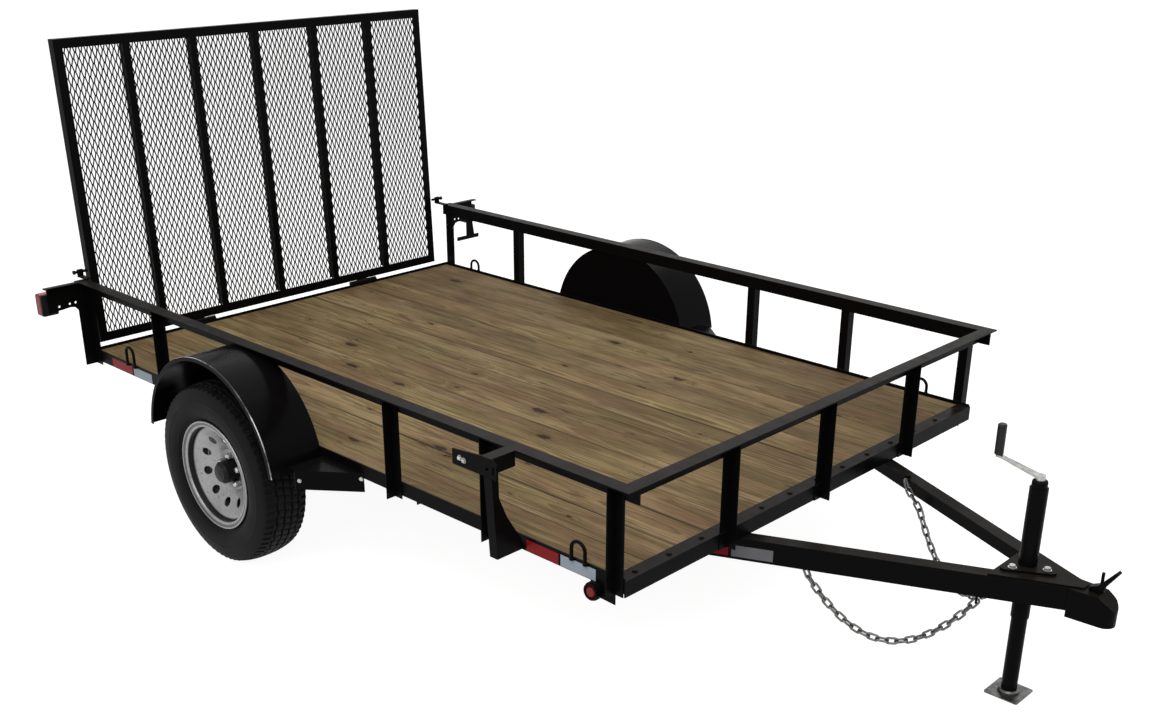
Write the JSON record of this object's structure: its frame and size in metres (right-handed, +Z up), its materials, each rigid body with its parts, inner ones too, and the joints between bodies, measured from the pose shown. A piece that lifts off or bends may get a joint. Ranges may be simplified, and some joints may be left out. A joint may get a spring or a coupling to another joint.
{
  "type": "utility trailer",
  "caption": "Open utility trailer with a wood deck, angle-iron rails, a mesh ramp gate, an A-frame tongue, a screw jack and safety chains.",
  "frame": {"origin": "on the floor, under the middle of the trailer's overall box", "axes": "+X to the tongue and coupler, +Y to the trailer's left, +Z up"},
  "size_m": [4.2348, 2.4614, 1.7695],
  "materials": {
    "frame_black": "gloss black enamel",
    "wood": "treated pine, bare",
    "tyre": "matte",
    "rim_silver": "satin silver",
    "zinc": "zinc plated",
    "cap_black": "matte",
    "grip_black": "matte",
    "lens_red": "glossy"
  },
  "bodies": {
    "chassis": {"side_frame_left": "frame_black", "side_frame_right": "frame_black", "front_frame": "frame_black", "rear_frame": "frame_black", "cross_members": "frame_black", "posts": "frame_black", "side_rails": "frame_black", "front_rail": "frame_black", "tongue_left": "frame_black", "tongue_right": "frame_black", "tongue_plate": "frame_black", "coupler": "frame_black", "coupler_latch": "frame_black", "jack_tube": "frame_black", "axle": "frame_black", "springs": "frame_black", "spring_hangers": "frame_black", "fender_left": "frame_black", "fender_right": "frame_black", "fender_steps": "frame_black", "gate_knuckles": "frame_black", "gate_latches": "frame_black", "lamp_brackets": "frame_black", "marker_lamps": "frame_black", "tie_downs": "frame_black", "spare_carrier": "frame_black", "deck_boards": "wood", "jack_crank": "zinc", "axle_clamps": "zinc", "safety_chains": "zinc", "jack_grip": "grip_black", "tail_lamp_bases": "cap_black", "tail_lenses": "lens_red", "marker_lenses": "lens_red"},
    "wheel_left": {"hub_left": "frame_black", "rim_left": "rim_silver", "tyre_left": "tyre", "hub_cap_left": "cap_black"},
    "wheel_right": {"hub_right": "frame_black", "rim_right": "rim_silver", "tyre_right": "tyre", "hub_cap_right": "cap_black"},
    "gate": {"gate_frame": "frame_black", "gate_bars": "frame_black", "gate_mesh": "frame_black", "gate_barrels": "frame_black"},
    "jack_stand": {"jack_leg": "frame_black", "jack_foot": "zinc"}
  },
  "joints": [
    {"name": "wheel_left_spin", "type": "hinge", "parent": "chassis", "child": "wheel_left", "pos_m": [-0.77857, 1.133, 0.345], "axis": [0, 1, 0], "continuous": true},
    {"name": "wheel_right_spin", "type": "hinge", "parent": "chassis", "child": "wheel_right", "pos_m": [-0.77857, -1.133, 0.345], "axis": [0, 1, 0], "continuous": true},
    {"name": "gate_hinge", "type": "hinge", "parent": "chassis", "child": "gate", "pos_m": [-2.01657, 0, 0.505], "axis": [0, -1, 0], "range_deg": [0, 108]},
    {"name": "jack_lift", "type": "slide", "parent": "chassis", "child": "jack_stand", "axis": [0, 0, 1], "range_m": [0, 0.254]}
  ]
}
